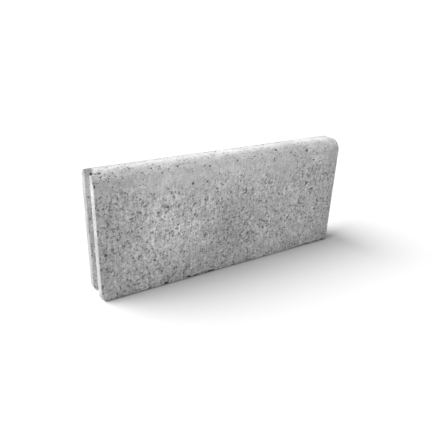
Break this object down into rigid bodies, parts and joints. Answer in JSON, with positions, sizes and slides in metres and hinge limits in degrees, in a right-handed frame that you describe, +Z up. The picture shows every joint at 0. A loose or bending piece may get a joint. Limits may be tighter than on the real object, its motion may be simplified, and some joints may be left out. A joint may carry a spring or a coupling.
{
  "type": "concrete edging kerb",
  "caption": "Precast concrete edging kerb with a rounded top and interlocking tongue-and-groove ends, set upright in a bed to border a path, lawn or drive.",
  "frame": {"origin": "middle of the bed face, halfway between the two end shoulders", "axes": "+X along the kerb towards the tongue end, +Y through the thickness away from the face seen in the picture, +Z up from the bed to the rounded top"},
  "size_m": [0.512, 0.06, 0.22],
  "materials": {
    "concrete": "dry cast, pitted, matte"
  },
  "bodies": {
    "root": {"KERB_STONE": "concrete"}
  },
  "joints": []
}
